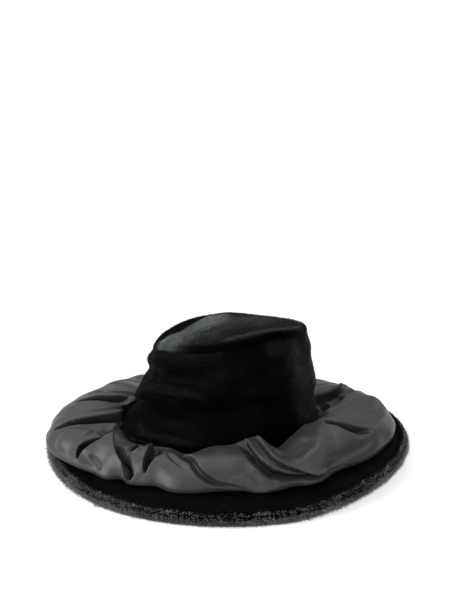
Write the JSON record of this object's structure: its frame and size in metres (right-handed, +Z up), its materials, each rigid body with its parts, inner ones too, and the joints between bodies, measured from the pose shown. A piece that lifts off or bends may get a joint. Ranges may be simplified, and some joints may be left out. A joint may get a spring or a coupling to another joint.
{
  "type": "wide-brimmed plush winter hat",
  "caption": "Soft plush winter hat: slouched bucket crown with an oval tip, wide padded brim and a gathered satin flounce round the crown, lying flat.",
  "frame": {"origin": "on the floor under the centre of the brim", "axes": "+Z up through the crown, -Y the front of the hat as pictured, +X to the viewer's right"},
  "size_m": [0.3733, 0.38, 0.1491],
  "materials": {
    "plush": "short black pile, matte with a faint grey sheen",
    "satin": "charcoal satin, soft gloss"
  },
  "bodies": {
    "root": {"brim_under": "plush", "brim_upper": "plush", "crown_side": "plush", "crown_tip": "plush", "satin_flounce": "satin"}
  },
  "joints": []
}
